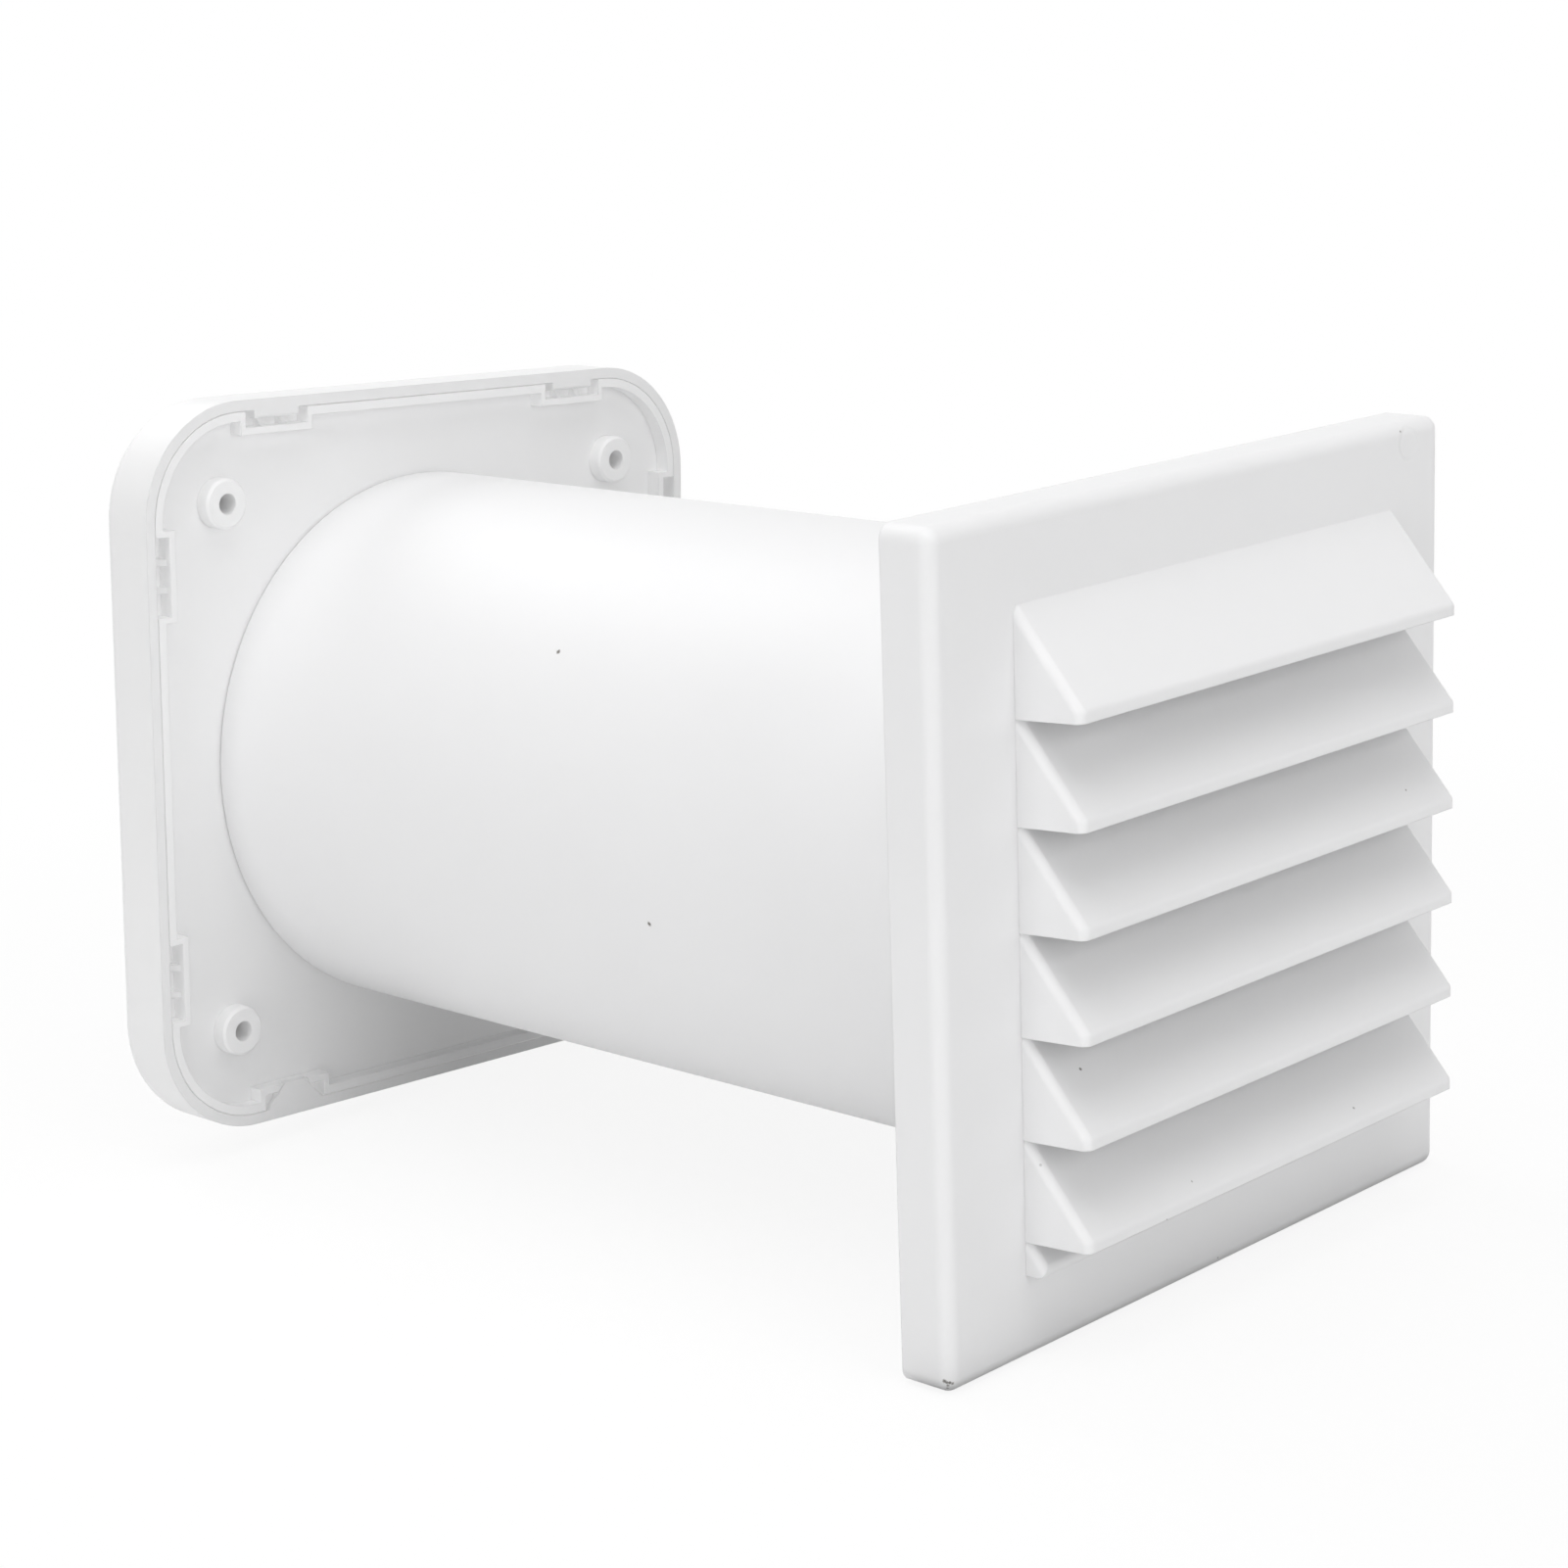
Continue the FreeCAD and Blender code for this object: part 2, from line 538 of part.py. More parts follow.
def make_trim_cover():
    """The clip-on room-side cover with its lips and release tongues."""
    body = new_body("trim_cover")
    outline = new_sketch(body, "cover_outline", "XZ_Plane")
    add_rounded_square(outline, "(Sizes.cover_side / 2)", "Sizes.cover_corner")
    pad(body, "cover_block", outline, "Sizes.cover_depth", reverse=True)
    depth = size("cover_depth")

    def room_edge(edge):
        return all(near(vertex.Point.y, depth) for vertex in edge.Vertexes)

    round_edges(body, "cover_rounding", room_edge, "Sizes.cover_round")
    inside = new_sketch(body, "cover_inside", "XZ_Plane")
    add_rounded_square(inside, COVER_INSIDE, COVER_INSIDE_CORNER)
    pocket(body, "cover_hollow", inside, "Sizes.cover_depth - Sizes.cover_wall")
    ring = new_sketch(body, "spigot_clearance", "XZ_Plane")
    add_circle(ring, "0", "0", f"{SPIGOT_OUTSIDE} + Sizes.spigot_root + Sizes.spigot_gap")
    pocket(body, "spigot_hole", ring, "Sizes.cover_depth + 1")
    catch = "(Sizes.floor_depth - Sizes.seat_gap)"
    for side in (-1, 1):
        name = f"snap_lip_{'left' if side < 0 else 'right'}"
        lip = new_sketch(body, name + "_side", "YZ_Plane", {"z": f"{side} * {CLIP_PLACE}"})
        add_outline(lip, [
            ("0", f"{COVER_INSIDE} + Sizes.overlap"),
            ("0", f"{COVER_INSIDE} - Sizes.lip_reach + Sizes.lip_lead"),
            ("Sizes.lip_lead", f"{COVER_INSIDE} - Sizes.lip_reach"),
            (catch, f"{COVER_INSIDE} - Sizes.lip_reach"),
            (catch, f"{COVER_INSIDE} + Sizes.overlap"),
        ])
        pad(body, name, lip, "Sizes.lip_width", both=True)
    for side in (-1, 1):
        name = f"release_tongue_{'left' if side < 0 else 'right'}"
        tongue(body, "PartDesign::AdditiveWedge", name, side, "0")
    turn_plate(body)
    return body


def turn_plate(body):
    """Turn a room-side piece on the tube, as the photographed one sits."""
    body.Placement = FreeCAD.Placement(FreeCAD.Vector(), FreeCAD.Rotation(FreeCAD.Vector(0, 1, 0), 1))
    body.setExpression("Placement.Rotation.Angle", "Sizes.plate_turn")


def make_damper_ring():
    """The sleeve in the tube with the leaning seat and two ears for the pin."""
    body = new_body("damper_ring")
    end = f"({RING_START} - Sizes.ring_length)"
    revolve(body, "sleeve", [
        (RING_START, RING_INSIDE), (RING_START, RING_OUTSIDE), (end, RING_OUTSIDE), (end, RING_INSIDE),
    ])
    face = "(Sizes.knuckle_diameter / 2 + Sizes.flap_gap)"
    seat = new_sketch(body, "seat_outline", "XZ_Plane", {
        "y": f"{HINGE_HEIGHT} - {face} * sin(Sizes.flap_tilt)",
        "z": f"-{HINGE_Y} - {face} * cos(Sizes.flap_tilt)",
    }, "Sizes.flap_tilt")
    add_circle(seat, "0", f"-{HINGE_HEIGHT}", f"{RING_INSIDE} + Sizes.overlap")
    add_circle(seat, "0", f"-{HINGE_HEIGHT}", SEAT_RADIUS)
    pad(body, "seat", seat, "Sizes.seat_wall", reverse=True)

    inner = "(Sizes.knuckle_width / 2 + Sizes.ear_gap)"
    margin = "(Sizes.pin_diameter / 2 + Sizes.ear_margin)"
    for side in (-1, 1):
        name = f"ear_{'left' if side < 0 else 'right'}"
        web = new_sketch(body, name + "_side", "YZ_Plane", {"z": f"{side} * {inner}"})
        add_box(web, HINGE_Y, f"{HINGE_Y} + {face} + Sizes.seat_wall / 2",
                f"{HINGE_HEIGHT} - {margin}", f"{HINGE_HEIGHT} + Sizes.ear_height")
        pad(body, name, web, "Sizes.ear_wall", reverse=side < 0)
        nose = new_sketch(body, name + "_nose_side", "YZ_Plane", {"z": f"{side} * {inner}"})
        add_circle(nose, HINGE_Y, HINGE_HEIGHT, margin)
        pad(body, name + "_nose", nose, "Sizes.ear_wall", reverse=side < 0)
    pin_place = new_sketch(body, "pin_place", "YZ_Plane")
    add_circle(pin_place, HINGE_Y, HINGE_HEIGHT, "Sizes.pin_diameter / 2")
    pocket(body, "pin_holes", pin_place, "Sizes.pin_length + 2", both=True)
    return body


def make_damper_flap():
    """The round flap, built upright about its hinge and then leaned back against the seat."""
    body = new_body("damper_flap")
    front = "(Sizes.knuckle_diameter / 2 - Sizes.flap_wall)"
    disc = new_sketch(body, "flap_outline", "XZ_Plane", {"z": f"-{front}"})
    add_circle(disc, "0", f"-{HINGE_HEIGHT}", FLAP_RADIUS)
    pad(body, "flap_disc", disc, "Sizes.flap_wall", reverse=True)
    web = new_sketch(body, "knuckle_web_outline", "XZ_Plane", {"z": f"-{front}"})
    half = "Sizes.knuckle_width / 2"
    add_box(web, f"-{half}", half, "-Sizes.knuckle_web", "0")
    pad(body, "knuckle_joint", web, "Sizes.flap_wall", reverse=True)
    knuckle = new_sketch(body, "knuckle_outline", "YZ_Plane")
    add_circle(knuckle, "0", "0", "Sizes.knuckle_diameter / 2")
    pad(body, "knuckle", knuckle, "Sizes.knuckle_width", both=True)
    bore = new_sketch(body, "knuckle_bore_outline", "YZ_Plane")
    add_circle(bore, "0", "0", "Sizes.pin_diameter / 2 + Sizes.pin_gap")
    pocket(body, "knuckle_bore", bore, "Sizes.knuckle_width + 2", both=True)
    body.Placement = FreeCAD.Placement(FreeCAD.Vector(), FreeCAD.Rotation(FreeCAD.Vector(-1, 0, 0), 1))
    body.setExpression("Placement.Rotation.Angle", "Sizes.flap_tilt")
    body.setExpression("Placement.Base.y", HINGE_Y)
    body.setExpression("Placement.Base.z", HINGE_HEIGHT)
    return body


def make_flap_pin():
    """The plain wire pin of the hinge."""
    body = new_body("flap_pin")
    outline = new_sketch(body, "pin_outline", "YZ_Plane")
    add_circle(outline, "0", "0", "Sizes.pin_diameter / 2")
    pad(body, "pin_shaft", outline, "Sizes.pin_length", both=True)
    body.setExpression("Placement.Base.y", HINGE_Y)
    body.setExpression("Placement.Base.z", HINGE_HEIGHT)
    return body


pieces = (
    make_louvre_grille(),
    make_wall_tube(),
    make_wall_plate(),
    make_trim_cover(),
    make_damper_ring(),
    make_damper_flap(),
    make_flap_pin(),
)
doc.recompute()
for item in doc.Objects:
    if "Invalid" in item.State or "Error" in item.State:
        raise ValueError(f"{item.Name} failed: {item.State}")
os.makedirs("parts", exist_ok=True)
for piece in pieces:
    shape = piece.Shape
    if shape.isNull() or not shape.isValid() or len(shape.Solids) != 1:
        raise ValueError(f"{piece.Label} is not one valid solid")
    shape.exportStep(f"parts/{piece.Label}.step")
    box = shape.BoundBox
    print(piece.Label, round(shape.Volume / 1000, 2), "cm3",
          [round(v, 2) for v in (box.XMin, box.XMax, box.YMin, box.YMax, box.ZMin, box.ZMax)])
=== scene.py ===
"""The finish, tube, floor, light and camera of a through-wall dryer vent."""

import json
import math

import bpy
import numpy as np
from bpy.props import FloatProperty, FloatVectorProperty, IntProperty, PointerProperty
from mathutils import Euler, Matrix, Vector

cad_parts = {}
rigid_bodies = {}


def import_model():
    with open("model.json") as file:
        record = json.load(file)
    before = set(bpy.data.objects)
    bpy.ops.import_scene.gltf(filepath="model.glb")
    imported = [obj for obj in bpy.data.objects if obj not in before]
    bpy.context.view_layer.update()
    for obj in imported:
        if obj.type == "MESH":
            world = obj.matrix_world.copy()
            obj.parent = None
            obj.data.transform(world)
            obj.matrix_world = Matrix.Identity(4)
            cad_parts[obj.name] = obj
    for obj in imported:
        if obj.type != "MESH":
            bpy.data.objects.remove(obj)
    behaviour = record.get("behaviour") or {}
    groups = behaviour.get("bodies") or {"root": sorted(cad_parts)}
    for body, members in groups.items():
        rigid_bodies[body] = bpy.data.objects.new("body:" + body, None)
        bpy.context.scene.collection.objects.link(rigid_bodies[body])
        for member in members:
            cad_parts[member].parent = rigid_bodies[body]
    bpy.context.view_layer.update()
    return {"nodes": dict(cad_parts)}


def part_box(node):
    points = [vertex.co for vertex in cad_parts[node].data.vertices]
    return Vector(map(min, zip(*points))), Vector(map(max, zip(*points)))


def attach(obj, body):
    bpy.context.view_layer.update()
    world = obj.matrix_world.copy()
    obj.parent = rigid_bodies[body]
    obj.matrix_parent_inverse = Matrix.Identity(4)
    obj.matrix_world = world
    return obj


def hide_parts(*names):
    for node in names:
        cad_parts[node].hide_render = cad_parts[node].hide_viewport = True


bl_info = {
    "name": "Through-wall dryer vent",
    "version": (1, 0, 0),
    "blender": (4, 5, 0),
    "location": "3D View > Sidebar > Dryer vent",
    "description": "Finishes the packed dryer vent and sets its floor, light and camera",
    "category": "Object",
}

for leftover in list(bpy.data.objects):
    bpy.data.objects.remove(leftover)

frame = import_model()

MILLIMETRE = 0.001


# Sizes and colours that a user may change

class TubeSettings(bpy.types.PropertyGroup):
    wall: FloatProperty(
        name="Wall",
        description="Thickness of the duct tube's wall",
        default=2 * MILLIMETRE,
        unit="LENGTH",
    )
    lip: FloatProperty(
        name="Lip",
        description="Radius that the cut ends of the tube are eased to",
        default=0.35 * MILLIMETRE,
        unit="LENGTH",
    )
    sides: IntProperty(
        name="Sides",
        description="Steps round the tube",
        default=192,
        min=24,
    )
    rings: IntProperty(
        name="Rings",
        description="Steps along the tube",
        default=16,
        min=4,
    )


class FinishSettings(bpy.types.PropertyGroup):
    grille_white: FloatVectorProperty(
        name="Grille white",
        description="Colour of the moulded grille",
        default=(0.83, 0.83, 0.835),
        subtype="COLOR",
    )
    tube_white: FloatVectorProperty(
        name="Tube white",
        description="Colour of the glossy duct tube",
        default=(0.84, 0.84, 0.845),
        subtype="COLOR",
    )
    plate_white: FloatVectorProperty(
        name="Plate white",
        description="Colour of the wall plate",
        default=(0.895, 0.895, 0.897),
        subtype="COLOR",
    )
    cover_white: FloatVectorProperty(
        name="Cover white",
        description="Colour of the trim cover",
        default=(0.84, 0.84, 0.842),
        subtype="COLOR",
    )
    damper_white: FloatVectorProperty(
        name="Damper white",
        description="Colour of the backdraught damper",
        default=(0.80, 0.80, 0.805),
        subtype="COLOR",
    )
    steel: FloatVectorProperty(
        name="Steel",
        description="Colour of the flap's hinge pin",
        default=(0.62, 0.61, 0.59),
        subtype="COLOR",
    )
    grain: FloatProperty(
        name="Grain",
        description="Width of one grain of the moulded surfaces",
        default=0.45 * MILLIMETRE,
        unit="LENGTH",
    )
    grain_depth: FloatProperty(
        name="Grain depth",
        description="Height of the grain of the moulded surfaces",
        default=0.012 * MILLIMETRE,
        unit="LENGTH",
    )
    edge: FloatProperty(
        name="Edge",
        description="Radius that the moulded edges catch the light with",
        default=0.3 * MILLIMETRE,
        unit="LENGTH",
    )
    # Strength of the painted glow: emission that lightens the hollows of the plate and cover, the more shut
    # in the brighter.
    painted_glow: FloatProperty(
        name="Painted glow",
        description="Strength of the light that soaks into the hollows of the plate and cover",
        default=0.12,
    )


class StageSettings(bpy.types.PropertyGroup):
    ambient: FloatProperty(
        name="Ambient",
        description="Strength of the white room round the object",
        default=0.365,
    )
    floor_bounce: FloatProperty(
        name="Floor bounce",
        description="How much of the light the floor throws back on the object",
        default=0.86,
        subtype="FACTOR",
    )
    floor_glow: FloatProperty(
        name="Floor glow",
        description="Share of plain white in the floor near the object, as the camera sees it",
        default=0.87,
        subtype="FACTOR",
    )
    # Painted shade: the floor's colour for the light it throws back is darkened near the grille over this
    # distance.
    contact_reach: FloatProperty(
        name="Contact reach",
        description="Distance from the grille over which the floor comes to throw back its full light",
        default=8 * MILLIMETRE,
        unit="LENGTH",
    )
    shadow_reach: FloatProperty(
        name="Shadow reach",
        description="Distance from the object's middle at which the floor has become plain white",
        default=0.42,
        unit="LENGTH",
    )
    overhead: FloatProperty(
        name="Overhead",
        description="Power of the softbox over the object",
        default=8.1,
        subtype="POWER",
    )
    front: FloatProperty(
        name="Front",
        description="Power of the softbox in front of the grille",
        default=6.6,
        subtype="POWER",
    )
    left: FloatProperty(
        name="Left",
        description="Power of the low softbox on the left",
        default=8.6,
        subtype="POWER",
    )
    rear: FloatProperty(
        name="Rear",
        description="Power of the high softbox behind the wall plate",
        default=6.4,
        subtype="POWER",
    )


# Shapes

LIP_STEPS = 6
RUN_INSET = 3.0


def rounded_wall_profile(inner, outer, start, end, lip, rings):
    """The closed outline of a tube wall, as radii and places along the tube.

    It runs along the outside, round the far lip, back along the bore and round the near lip. Each corner is
    a quarter circle: its centre plus the lip radius times the cosine and the sine of the turned angle.
    """
    quarter = np.linspace(0, math.pi / 2, LIP_STEPS)
    corners = (
        (outer - lip, end - lip, 0.0),
        (inner + lip, end - lip, math.pi / 2),
        (inner + lip, start + lip, math.pi),
        (outer - lip, start + lip, 3 * math.pi / 2),
    )
    arcs = [
        (radius + lip * np.cos(quarter + turn), along + lip * np.sin(quarter + turn))
        for radius, along, turn in corners
    ]
    run = np.linspace(start + RUN_INSET * lip, end - RUN_INSET * lip, rings)
    outside = (np.full(rings, outer), run)
    bore = (np.full(rings, inner), run[::-1])
    parts = [outside, arcs[0], arcs[1], bore, arcs[2], arcs[3]]
    radii = np.concatenate([part[0] for part in parts])
    places = np.concatenate([part[1] for part in parts])
    return radii, places


def revolved_mesh(name, radii, places, sides):
    """A closed mesh from an outline turned about the Y axis.

    Point i, j is at radii[i] times the cosine and the sine of the angle j, in X and Z, and at places[i]
    along Y. The angles share a full turn evenly, and the last outline point joins the first.
    """
    angle = np.linspace(0, 2 * math.pi, sides, endpoint=False)
    x = radii[:, None] * np.cos(angle)
    z = radii[:, None] * np.sin(angle)
    y = np.repeat(places[:, None], sides, axis=1)
    points = np.stack([x, y, z], axis=-1).reshape(-1, 3)
    here = np.arange(len(points)).reshape(len(radii), sides)
    beside = np.roll(here, -1, axis=1)
    ahead = np.roll(here, -1, axis=0)
    across = np.roll(beside, -1, axis=0)
    faces = np.stack([here, ahead, across, beside], axis=-1).reshape(-1, 4)
    mesh = bpy.data.meshes.new(name)
    mesh.from_pydata(points.tolist(), [], faces.tolist())
    mesh.shade_smooth()
    mesh.update()
    return mesh


def add_piece(name, mesh, material):
    """Puts a finished mesh in the scene with its material."""
    piece = bpy.data.objects.new(name, mesh)
    bpy.context.scene.collection.objects.link(piece)
    piece.data.materials.append(material)
    return piece


# Shader node helpers

def add_node(tree, kind, properties=None, inputs=None):
    """Adds a node and sets its properties and, by name or number, its inputs."""
    node = tree.nodes.new(kind)
    for key, value in (properties or {}).items():
        setattr(node, key, value)
    for key, value in (inputs or {}).items():
        node.inputs[key].default_value = value
    return node


def feed(tree, value, socket):
    """Links an input to another node's output, or sets it to a plain value."""
    if isinstance(value, bpy.types.NodeSocket):
        tree.links.new(value, socket)
    else:
        socket.default_value = value


def add_math(tree, operation, first, second=None, third=None, clamp=False):
    """A Math node between sockets or plain numbers. Gives its output socket."""
    node = add_node(tree, "ShaderNodeMath", properties={"operation": operation, "use_clamp": clamp})
    for index, value in enumerate((first, second, third)):
        if value is not None:
            feed(tree, value, node.inputs[index])
    return node.outputs[0]


def add_mix(tree, factor, first, second):
    """The first of two numbers where the factor is nothing, and the second where it is one."""
    node = tree.nodes.new("ShaderNodeMix")
    tree.links.new(factor, node.inputs["Factor"])
    feed(tree, first, node.inputs[2])
    feed(tree, second, node.inputs[3])
    return node.outputs[0]


def add_ramp(tree, value, start, end, low, high):
    """A smooth step from low to high while a value goes from start to end."""
    node = add_node(
        tree,
        "ShaderNodeMapRange",
        properties={"interpolation_type": "SMOOTHSTEP"},
        inputs={"From Min": start, "From Max": end, "To Min": low, "To Max": high},
    )
    tree.links.new(value, node.inputs["Value"])
    return node.outputs["Result"]


def add_vector_steps(tree, vector, steps):
    """A chain of Vector Math nodes, each with its plain second vector. Gives the last one's output."""
    for operation, second in steps:
        node = add_node(tree, "ShaderNodeVectorMath", properties={"operation": operation})
        tree.links.new(vector, node.inputs[0])
        if second is not None:
            node.inputs[1].default_value = second
        vector = node.outputs["Value" if operation == "LENGTH" else "Vector"]
    return vector


def add_distance(tree, vector, place):
    """The distance from a vector socket to a place, which may be a socket or a plain vector."""
    node = add_node(tree, "ShaderNodeVectorMath", properties={"operation": "DISTANCE"})
    tree.links.new(vector, node.inputs[0])
    feed(tree, place, node.inputs[1])
    return node.outputs["Value"]


def add_noise(tree, vector, scale, detail=2.0, roughness=0.5):
    """A Noise Texture on a vector socket. Its scale may be a number or a socket."""
    node = add_node(tree, "ShaderNodeTexNoise", inputs={"Detail": detail, "Roughness": roughness})
    tree.links.new(vector, node.inputs["Vector"])
    feed(tree, scale, node.inputs["Scale"])
    return node.outputs["Fac"]


def new_group(name, inputs, outputs):
    """An empty node group with named sockets. Gives its tree, its input node and its output node."""
    tree = bpy.data.node_groups.new(name, "ShaderNodeTree")
    for socket_name, kind, default in inputs:
        socket = tree.interface.new_socket(name=socket_name, in_out="INPUT", socket_type=kind)
        if default is not None:
            socket.default_value = default
    for socket_name, kind in outputs:
        tree.interface.new_socket(name=socket_name, in_out="OUTPUT", socket_type=kind)
    return tree, tree.nodes.new("NodeGroupInput"), tree.nodes.new("NodeGroupOutput")


# Shared effects

# How often each pattern comes back, in times per metre
MOTTLE_RATE = 38.0
SMEAR_RATE = 90.0
RAGGED_RATE = 3000.0


def build_moulded_grain(name):
    """Fine grain, slow mottling of the white, and patches of more and less gloss."""
    inputs = (
        ("Vector", "NodeSocketVector", None),
        ("Grain Width", "NodeSocketFloat", 0.5 * MILLIMETRE),
        ("White", "NodeSocketColor", (0.8, 0.8, 0.8, 1.0)),
        ("Mottle", "NodeSocketFloat", 0.02),
        ("Roughness", "NodeSocketFloat", 0.35),
        ("Roughness Spread", "NodeSocketFloat", 0.1),
    )
    outputs = (
        ("Color", "NodeSocketColor"),
        ("Roughness", "NodeSocketFloat"),
        ("Height", "NodeSocketFloat"),
    )
    tree, start, end = new_group(name, inputs, outputs)
    vector = start.outputs["Vector"]
    grain_rate = add_math(tree, "DIVIDE", 1.0, start.outputs["Grain Width"])
    fine = add_noise(tree, vector, grain_rate, detail=3.0, roughness=0.6)
    mottling = add_noise(tree, vector, MOTTLE_RATE, detail=4.0, roughness=0.55)
    smear = add_noise(tree, vector, SMEAR_RATE, detail=3.0)
    mottling_centred = add_math(tree, "SUBTRACT", mottling, 0.5)
    shade = add_math(tree, "MULTIPLY_ADD", mottling_centred, start.outputs["Mottle"], 1.0)
    tint = add_node(tree, "ShaderNodeVectorMath", properties={"operation": "SCALE"})
    tree.links.new(start.outputs["White"], tint.inputs[0])
    tree.links.new(shade, tint.inputs["Scale"])
    smear_centred = add_math(tree, "SUBTRACT", smear, 0.5)
    gloss = add_math(
        tree,
        "MULTIPLY_ADD",
        smear_centred,
        start.outputs["Roughness Spread"],
        start.outputs["Roughness"],
    )
    tree.links.new(tint.outputs["Vector"], end.inputs["Color"])
    tree.links.new(gloss, end.inputs["Roughness"])
    tree.links.new(fine, end.inputs["Height"])
    return tree


# A fleck's reach in its sizes, as its noise goes from nothing to one, and where its fading ends, in reaches
RAGGED_LEAST = 0.55
RAGGED_GAIN = 0.9
FADE_END = 1.6


def build_fleck(name):
    """A ragged dark fleck. It is one up to its fade end less one reach, and then fades to nothing."""
    inputs = (
        ("Vector", "NodeSocketVector", None),
        ("Raggedness", "NodeSocketFloat", 0.5),
        ("Place", "NodeSocketVector", None),
        ("Size", "NodeSocketFloat", 0.4 * MILLIMETRE),
    )
    tree, start, end = new_group(name, inputs, (("Mask", "NodeSocketFloat"),))
    distance = add_distance(tree, start.outputs["Vector"], start.outputs["Place"])
    ragged = add_math(tree, "MULTIPLY_ADD", start.outputs["Raggedness"], RAGGED_GAIN, RAGGED_LEAST)
    reach = add_math(tree, "MULTIPLY", start.outputs["Size"], ragged)
    ratio = add_math(tree, "DIVIDE", distance, reach)
    inside = add_math(tree, "SUBTRACT", FADE_END, ratio, clamp=True)
    tree.links.new(inside, end.inputs["Mask"])
    return tree


def build_pin_mark(name):
    """The shallow round dimple of a mould's ejector pin: one inside its radius, with a slope round it."""
    inputs = (
        ("Vector", "NodeSocketVector", None),
        ("Place", "NodeSocketVector", None),
        ("Radius", "NodeSocketFloat", 1.2 * MILLIMETRE),
        ("Slope Width", "NodeSocketFloat", 0.6 * MILLIMETRE),
    )
    tree, start, end = new_group(name, inputs, (("Mask", "NodeSocketFloat"),))
    distance = add_distance(tree, start.outputs["Vector"], start.outputs["Place"])
    inwards = add_math(tree, "SUBTRACT", start.outputs["Radius"], distance)
    steps = add_math(tree, "DIVIDE", inwards, start.outputs["Slope Width"])
    inside = add_math(tree, "ADD", steps, 0.5, clamp=True)
    tree.links.new(inside, end.inputs["Mask"])
    return tree


LINE_STRETCH = 50.0


def build_draw_lines(name):
    """Faint lines along an extruded tube: noise that changes fast round the tube and slowly along it."""
    inputs = (
        ("Vector", "NodeSocketVector", None),
        ("Spacing", "NodeSocketFloat", 1.2 * MILLIMETRE),
    )
    tree, start, end = new_group(name, inputs, (("Height", "NodeSocketFloat"),))
    squeeze = add_node(tree, "ShaderNodeMapping", inputs={"Scale": (1.0, 1 / LINE_STRETCH, 1.0)})
    tree.links.new(start.outputs["Vector"], squeeze.inputs["Vector"])
    rate = add_math(tree, "DIVIDE", 1.0, start.outputs["Spacing"])
    lines = add_noise(tree, squeeze.outputs["Vector"], rate)
    tree.links.new(lines, end.inputs["Height"])
    return tree


def build_painted_hollow_glow(name):
    """Painted glow in hollows: the cube of how far a point is shut in by what is near it, as an emission
    colour.
    """
    inputs = (
        ("Reach", "NodeSocketFloat", 6 * MILLIMETRE),
        ("Steepness", "NodeSocketFloat", 3.0),
    )
    tree, start, end = new_group(name, inputs, (("Color", "NodeSocketColor"),))
    open_sky = add_node(tree, "ShaderNodeAmbientOcclusion", properties={"samples": 4})
    tree.links.new(start.outputs["Reach"], open_sky.inputs["Distance"])
    shut_in = add_math(tree, "SUBTRACT", 1.0, open_sky.outputs["AO"])
    grown = add_math(tree, "POWER", shut_in, start.outputs["Steepness"])
    tree.links.new(grown, end.inputs["Color"])
    return tree


EFFECTS = {
    "Moulded grain": build_moulded_grain,
    "Fleck": build_fleck,
    "Pin mark": build_pin_mark,
    "Draw lines": build_draw_lines,
    "Painted hollow glow": build_painted_hollow_glow,
}


def place_effect(tree, name, links=None, values=None):
    """Places a shared effect in a material, with some inputs linked and some set. Its first use builds it."""
    group = bpy.data.node_groups.get(name) or EFFECTS[name](name)
    node = add_node(tree, "ShaderNodeGroup", properties={"node_tree": group}, inputs=values)
    for key, socket in (links or {}).items():
        tree.links.new(socket, node.inputs[key])
    return node


def darkened(tree, color, mask, dark, strength):
    """Mixes a dark colour over another where a mask is one."""
    mix = add_node(tree, "ShaderNodeMix", properties={"data_type": "RGBA"})
    factor = add_math(tree, "MULTIPLY", mask, strength)
    tree.links.new(factor, mix.inputs["Factor"])
    tree.links.new(color, mix.inputs[6])
    mix.inputs[7].default_value = (*dark, 1.0)
    return mix.outputs[2]


# Materials

PLASTIC_IOR = 1.49
BEVEL_SAMPLES = 4
FLECK_BROWN = (0.09, 0.075, 0.06)

# Each fleck's place and size in millimetres, and how dark it is
TUBE_FLECKS = (
    ((-41.55, -81.46, 33.67), 0.36, 0.9),
    ((-52.72, -112.83, -9.02), 0.32, 0.95),
)
GRILLE_FLECKS = (
    ((43.56, -204.29, 8.25), 0.16, 0.8),
    ((25.99, -205.47, -45.11), 0.19, 0.7),
    ((-42.86, -199.69, -21.00), 0.22, 0.85),
    ((-50.03, -196.93, -35.80), 0.18, 0.35),
    ((-21.10, -205.44, -45.06), 0.16, 0.5),
    ((-30.08, -207.00, -48.77), 0.17, 0.45),
    ((2.00, -193.66, -68.30), 0.17, 0.6),
    ((57.53, -193.55, 68.58), 0.16, 0.8),
)
CORNER_SCUFF = (
    ((-69.73, -192.42, -67.56), 0.25, 0.85),
    ((-69.51, -192.74, -67.77), 0.22, 0.8),
    ((-69.20, -193.09, -67.83), 0.22, 0.85),
    ((-68.83, -193.34, -68.01), 0.19, 0.7),
    ((-69.33, -192.77, -68.33), 0.20, 0.7),
    ((-69.13, -192.52, -68.93), 0.20, 0.6),
    ((-68.39, -191.83, -69.76), 0.30, 0.6),
)

# The pin mark's place and radius in millimetres, and its rise in grains
GRILLE_PIN_MARKS = (
    ((59.72, -193.80, 66.30), 2.85, -12.0),
)


